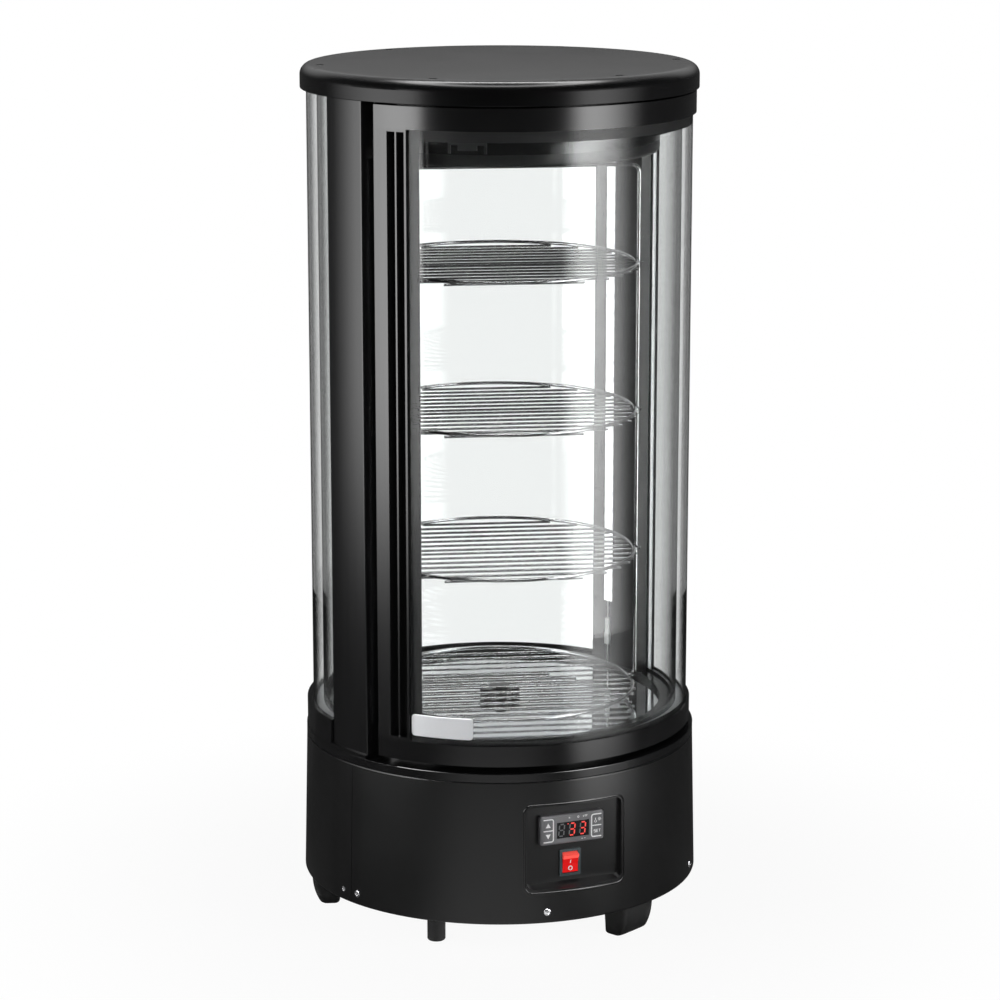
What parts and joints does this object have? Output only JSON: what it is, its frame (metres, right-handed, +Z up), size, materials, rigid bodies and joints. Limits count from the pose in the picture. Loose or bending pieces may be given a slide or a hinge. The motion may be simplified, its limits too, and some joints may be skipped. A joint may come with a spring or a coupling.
{
  "type": "revolving glass display cabinet",
  "caption": "Round refrigerated display cabinet with curved double-glazed door, turning wire shelves on a hoop, lit posts and a black base with controls.",
  "frame": {"origin": "on the floor, on the cabinet's vertical axis", "axes": "+Z up along the cabinet's axis, -Y towards the middle of the door, +X to the right seen from the front"},
  "size_m": [0.4618, 0.4618, 0.9885],
  "materials": {
    "black_gloss": "gloss",
    "black_paint": "satin",
    "black_frame": "black anodised, satin",
    "black_rubber": "matte",
    "zinc": "satin",
    "chrome_wire": "polished",
    "mirror_steel": "mirror polished",
    "clear_glass": "clear",
    "spacer_aluminium": "satin",
    "led_white": "diffuse",
    "foam": "matte",
    "machine_black": "satin",
    "coil_aluminium": "satin",
    "fan_black": "matte",
    "thermostat_grey": "matte",
    "display_dark": "gloss",
    "key_grey": "matte",
    "switch_black": "satin",
    "rocker_red": "gloss",
    "hub_black": "satin",
    "bearing_plastic": "matte",
    "ceiling_black": "matte"
  },
  "bodies": {
    "cabinet": {"base_pan": "black_paint", "block_feet": "black_rubber", "round_feet": "black_rubber", "skirt_front": "black_paint", "skirt_rear": "black_paint", "skirt_screws": "zinc", "mains_inlet": "switch_black", "collar": "black_gloss", "floor_insulation": "foam", "floor_plate": "mirror_steel", "floor_bearing": "bearing_plastic", "gearmotor": "zinc", "compressor": "machine_black", "condenser": "coil_aluminium", "condenser_fan_motor": "fan_black", "control_panel": "black_gloss", "thermostat_case": "thermostat_grey", "display_window": "display_dark", "switch_frame": "switch_black", "post_left": "black_frame", "post_right": "black_frame", "light_cover_left": "black_frame", "light_cover_right": "black_frame", "led_strip_left": "led_white", "led_strip_right": "led_white", "rear_glass_outer": "clear_glass", "rear_glass_inner": "clear_glass", "rear_glass_spacer": "spacer_aluminium", "glazing_gasket": "black_rubber", "top_frame": "black_paint", "lid": "black_gloss", "lid_screws": "machine_black", "header_shell": "black_paint", "ceiling_pan": "ceiling_black", "evaporator": "coil_aluminium", "evaporator_fan_motor": "fan_black", "door_catch": "zinc", "hinge_pins": "zinc"},
    "door": {"door_top_rail": "black_frame", "door_bottom_rail": "black_frame", "door_handle_stile": "black_frame", "door_hinge_cap": "black_frame", "door_glass_outer": "clear_glass", "door_glass_inner": "clear_glass", "door_spacer": "spacer_aluminium", "door_gasket": "black_rubber"},
    "rack": {"rack_hoop": "chrome_wire", "drive_hub": "hub_black", "drive_shaft": "zinc", "shelf_1": "chrome_wire", "shelf_2": "chrome_wire", "shelf_3": "chrome_wire", "shelf_4": "chrome_wire"},
    "rocker": {"switch_rocker": "rocker_red"},
    "up_key": {"key_up": "key_grey"},
    "down_key": {"key_down": "key_grey"},
    "light_key": {"key_light": "key_grey"},
    "set_key": {"key_set": "key_grey"},
    "condenser_fan": {"condenser_fan_blades": "fan_black"},
    "evaporator_fan": {"evaporator_fan_blades": "fan_black"}
  },
  "joints": [
    {"name": "door_hinge", "type": "hinge", "parent": "cabinet", "child": "door", "pos_m": [0.21203, -0.04121, 0.6], "axis": [0, 0, 1], "range_deg": [0, 100]},
    {"name": "rack_spin", "type": "hinge", "parent": "cabinet", "child": "rack", "pos_m": [0, 0, 0.25], "axis": [0, 0, 1], "continuous": true},
    {"name": "rocker_tilt", "type": "hinge", "parent": "cabinet", "child": "rocker", "pos_m": [-0.06472, -0.20085, 0.1075], "axis": [-0.9558, 0.294, 0], "range_deg": [0, 20]},
    {"name": "key_up_press", "type": "slide", "parent": "cabinet", "child": "up_key", "axis": [0.294, 0.9558, 0], "range_m": [0, 0.0008], "stiffness_N_per_m": 300, "springref_m": -0.001},
    {"name": "key_down_press", "type": "slide", "parent": "cabinet", "child": "down_key", "axis": [0.294, 0.9558, 0], "range_m": [0, 0.0008], "stiffness_N_per_m": 300, "springref_m": -0.001},
    {"name": "key_light_press", "type": "slide", "parent": "cabinet", "child": "light_key", "axis": [0.294, 0.9558, 0], "range_m": [0, 0.0008], "stiffness_N_per_m": 300, "springref_m": -0.001},
    {"name": "key_set_press", "type": "slide", "parent": "cabinet", "child": "set_key", "axis": [0.294, 0.9558, 0], "range_m": [0, 0.0008], "stiffness_N_per_m": 300, "springref_m": -0.001},
    {"name": "condenser_fan_spin", "type": "hinge", "parent": "cabinet", "child": "condenser_fan", "pos_m": [0.062, 0.13, 0.109], "axis": [0, 1, 0], "continuous": true},
    {"name": "evaporator_fan_spin", "type": "hinge", "parent": "cabinet", "child": "evaporator_fan", "pos_m": [0, 0, 0.93], "axis": [0, 0, 1], "continuous": true}
  ]
}
